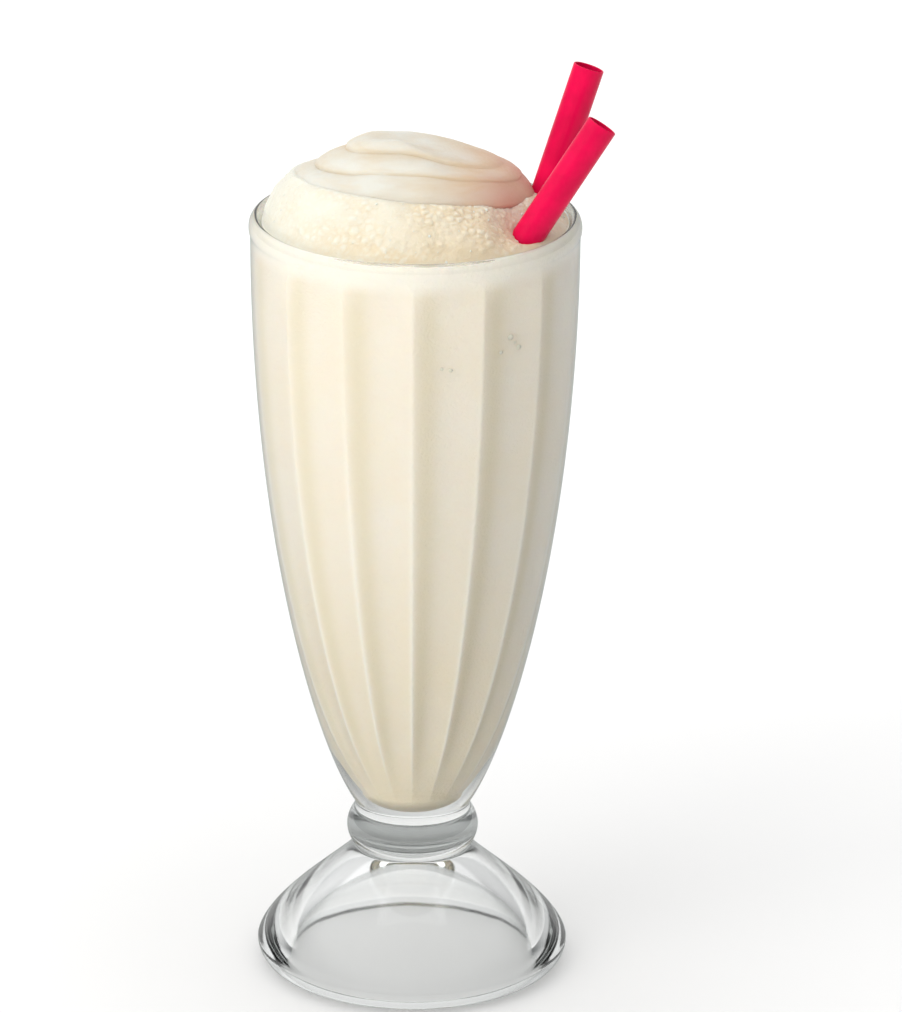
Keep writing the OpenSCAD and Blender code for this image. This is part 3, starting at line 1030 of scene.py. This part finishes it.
def make_bubbles(scene):
    """A few bubbles pressed against the glass, and many small ones on the froth."""
    g, d = scene.milkshake_glass, scene.milkshake_drink
    film = bubble_material(scene.milkshake_finish)
    tree = bubble_tree(film)
    against = [(22.0, 172.5, 0.75), (19.8, 169.2, 0.5), (23.9, 169.5, 0.65), (8.3, 166.2, 0.5),
               (6.2, 166.7, 0.4), (23.0, 171.0, 0.4)]
    points, facings, radii = [], [], []
    for x, z, r in against:
        side = cup_r(g, np.array(z * MM)) + g.flute_d * 0.2
        a = -math.pi / 2 + math.asin(x * MM / side) if abs(x * MM) < side else 0.0
        points.append((side * math.cos(a), side * math.sin(a), z * MM))
        facings.append((math.cos(a), math.sin(a), 0.0))
        radii.append(r * MM)
    wall = grown("wall_bubbles", points, facings, radii, tree, Flatness=0.5)
    finish_piece(wall, film, "shake")

    froth = bpy.data.objects["vanilla_shake"].data
    count = len(froth.vertices)
    share = np.zeros(count, dtype=np.float32)
    froth.attributes["froth"].data.foreach_get("value", share)
    places = np.zeros(count * 3, dtype=np.float32)
    froth.vertices.foreach_get("co", places)
    normals = np.zeros(count * 3, dtype=np.float32)
    froth.vertex_normals.foreach_get("vector", normals)
    places, normals = places.reshape(-1, 3), normals.reshape(-1, 3)
    beyond = np.hypot(places[:, 0] - d.centre[0], places[:, 1] - d.centre[1])
    a = np.arctan2(places[:, 1] - d.centre[1], places[:, 0] - d.centre[0])
    open_froth = np.flatnonzero((share > 0.5) & (beyond > around(d.edge_r, a)))
    rng = np.random.default_rng(11)
    chosen = rng.choice(open_froth, size=min(d.bubbles, len(open_froth)), replace=False)
    radii = (0.12 + 0.33 * rng.random(len(chosen)) ** 2.5) * MM
    sunk = places[chosen] - normals[chosen] * radii[:, None] * 0.25
    small = grown("froth_bubbles", sunk, normals[chosen], radii, tree, Flatness=0.75)
    finish_piece(small, film, "shake")


# ---- studio ----


def make_stage(scene):
    """A flat white floor with a painted soft shadow round the foot, soft light from the upper left
    and the front, and the camera.
    """
    stage, finish = scene.milkshake_stage, scene.milkshake_finish
    half = 6.0
    mesh = bpy.data.meshes.new("floor")
    mesh.from_pydata([(-half, -half, 0), (half, -half, 0), (half, half, 0), (-half, half, 0)], [],
                     [(0, 1, 2, 3)])
    floor = bpy.data.objects.new("floor", mesh)
    scene.collection.objects.link(floor)
    paper, n, shader, _ = material("studio_paper")
    place = n.add("ShaderNodeTexCoord").outputs["Object"]
    # painted shadow round the foot: the floor is darker near the glass and plain further off
    away = n.add("ShaderNodeVectorMath", {0: place}, operation="LENGTH").outputs["Value"]
    tone = n.blend(n.ramp(away, 0.07, 0.5), tuple(finish.floor), tuple(finish.floor_far))
    feed(n, shader, Base_Color=tone, Roughness=0.9)
    mesh.materials.append(paper)

    world = bpy.data.worlds.new("studio")
    world.use_nodes = True
    world.node_tree.nodes.clear()
    scene.world = world
    n = Nodes(world.node_tree)
    way = n.add("ShaderNodeTexCoord").outputs["Generated"]
    parts = n.add("ShaderNodeSeparateXYZ", {0: way})
    # dark low down, so that the edges of the glass show, and light above and behind
    up = n.ramp(parts.outputs["Z"], 0.16, 0.45)
    behind = n.maths("MULTIPLY", n.ramp(parts.outputs["Y"], 0.55, 0.85), 0.75)
    up = n.maths("MAXIMUM", up, behind)
    side = n.ramp(parts.outputs["X"], -0.9, 0.9)
    walls = n.blend(side, (1.0, 1.0, 1.0, 1.0), (0.62, 0.62, 0.62, 1.0))
    tone = n.blend(up, (0.10, 0.105, 0.105, 1.0), walls)
    sky = n.add("ShaderNodeBackground", {"Color": tone, "Strength": 1.3})
    n.add("ShaderNodeOutputWorld", {"Surface": sky.outputs[0]})

    def softbox(name, size, place, aim, watts, colour):
        light = bpy.data.lights.new(name, "AREA")
        light.shape = "RECTANGLE"
        light.size, light.size_y = size
        light.energy = watts
        light.color = colour
        obj = bpy.data.objects.new(name, light)
        scene.collection.objects.link(obj)
        obj.location = place
        obj.rotation_euler = (Vector(aim) - obj.location).to_track_quat("-Z", "Y").to_euler()
        return obj

    aim = (0.0, 0.0, 0.13)
    key = softbox("key", (1.0, 1.2), (-1.0, -0.8, 0.95), aim, 8.5, (1.0, 0.985, 0.96))
    softbox("top", (1.2, 1.2), (0.0, 0.25, 1.3), aim, 4.0, (1.0, 1.0, 1.0))

    fill = softbox("fill", (1.6, 0.7), (-0.6, -1.6, 0.15), aim, 13.5, (1.0, 0.985, 0.95))
    for lamp in (key, fill):
        lamp.visible_glossy = lamp.visible_transmission = False

    camera = bpy.data.objects.new("camera", bpy.data.cameras.new("camera"))
    scene.collection.objects.link(camera)
    camera.data.lens = stage.lens
    camera.data.sensor_width = 36.0
    camera.data.clip_start, camera.data.clip_end = 0.05, 30.0
    camera.location = (0.0, -stage.camera_distance, stage.camera_height)
    aim = Vector((stage.aim_x, 0.0, stage.aim_z))
    look = (aim - camera.location).to_track_quat("-Z", "Y")
    roll = Matrix.Rotation(stage.roll, 3, "Z")
    camera.rotation_euler = (look.to_matrix() @ roll).to_euler()
    scene.camera = camera
    scene.view_settings.view_transform = "Standard"


# ---- add-on ----


class MILKSHAKE_OT_glass(bpy.types.Operator):
    """Make the footed glass"""

    bl_idname = "milkshake.glass"
    bl_label = "Glass"

    def execute(self, context):
        make_glass(context.scene)
        return {"FINISHED"}


class MILKSHAKE_OT_shake(bpy.types.Operator):
    """Make the drink and its froth"""

    bl_idname = "milkshake.shake"
    bl_label = "Shake"

    def execute(self, context):
        make_shake(context.scene)
        return {"FINISHED"}


class MILKSHAKE_OT_swirl(bpy.types.Operator):
    """Make the swirl on the froth"""

    bl_idname = "milkshake.swirl"
    bl_label = "Swirl"

    def execute(self, context):
        make_swirl(context.scene)
        return {"FINISHED"}


class MILKSHAKE_OT_bubbles(bpy.types.Operator):
    """Make the bubbles at the glass and on the froth"""

    bl_idname = "milkshake.bubbles"
    bl_label = "Bubbles"

    def execute(self, context):
        make_bubbles(context.scene)
        return {"FINISHED"}


class MILKSHAKE_OT_straws(bpy.types.Operator):
    """Make the two straws"""

    bl_idname = "milkshake.straws"
    bl_label = "Straws"

    def execute(self, context):
        make_straws(context.scene)
        return {"FINISHED"}


class MILKSHAKE_OT_stage(bpy.types.Operator):
    """Make the floor, the lights and the camera"""

    bl_idname = "milkshake.stage"
    bl_label = "Stage"

    def execute(self, context):
        make_stage(context.scene)
        return {"FINISHED"}


class MILKSHAKE_PT_panel(bpy.types.Panel):
    """Lists the steps that build the milkshake"""

    bl_idname = "MILKSHAKE_PT_panel"
    bl_label = "Milkshake"
    bl_space_type = "VIEW_3D"
    bl_region_type = "UI"
    bl_category = "Milkshake"

    def draw(self, context):
        for step in STEPS:
            self.layout.operator(step.bl_idname)
        for name in GROUPS:
            box = self.layout.box()
            group = getattr(context.scene, name)
            for key in group.bl_rna.properties.keys():
                if key not in ("rna_type", "name"):
                    box.prop(group, key)


STEPS = (
    MILKSHAKE_OT_stage,
    MILKSHAKE_OT_glass,
    MILKSHAKE_OT_shake,
    MILKSHAKE_OT_swirl,
    MILKSHAKE_OT_bubbles,
    MILKSHAKE_OT_straws,
)
GROUPS = {
    "milkshake_glass": MilkshakeGlass,
    "milkshake_drink": MilkshakeDrink,
    "milkshake_straws": MilkshakeStraws,
    "milkshake_finish": MilkshakeFinish,
    "milkshake_stage": MilkshakeStage,
}


def register():
    for cls in (*GROUPS.values(), *STEPS, MILKSHAKE_PT_panel):
        bpy.utils.register_class(cls)
    for name, cls in GROUPS.items():
        setattr(bpy.types.Scene, name, PointerProperty(type=cls))


def unregister():
    for name in GROUPS:
        delattr(bpy.types.Scene, name)
    for cls in (MILKSHAKE_PT_panel, *reversed(STEPS), *reversed(list(GROUPS.values()))):
        bpy.utils.unregister_class(cls)


def main():
    register()
    bpy.ops.milkshake.stage()
    bpy.ops.milkshake.glass()
    bpy.ops.milkshake.shake()
    bpy.ops.milkshake.swirl()
    bpy.ops.milkshake.bubbles()
    bpy.ops.milkshake.straws()


if __name__ == "__main__":
    main()
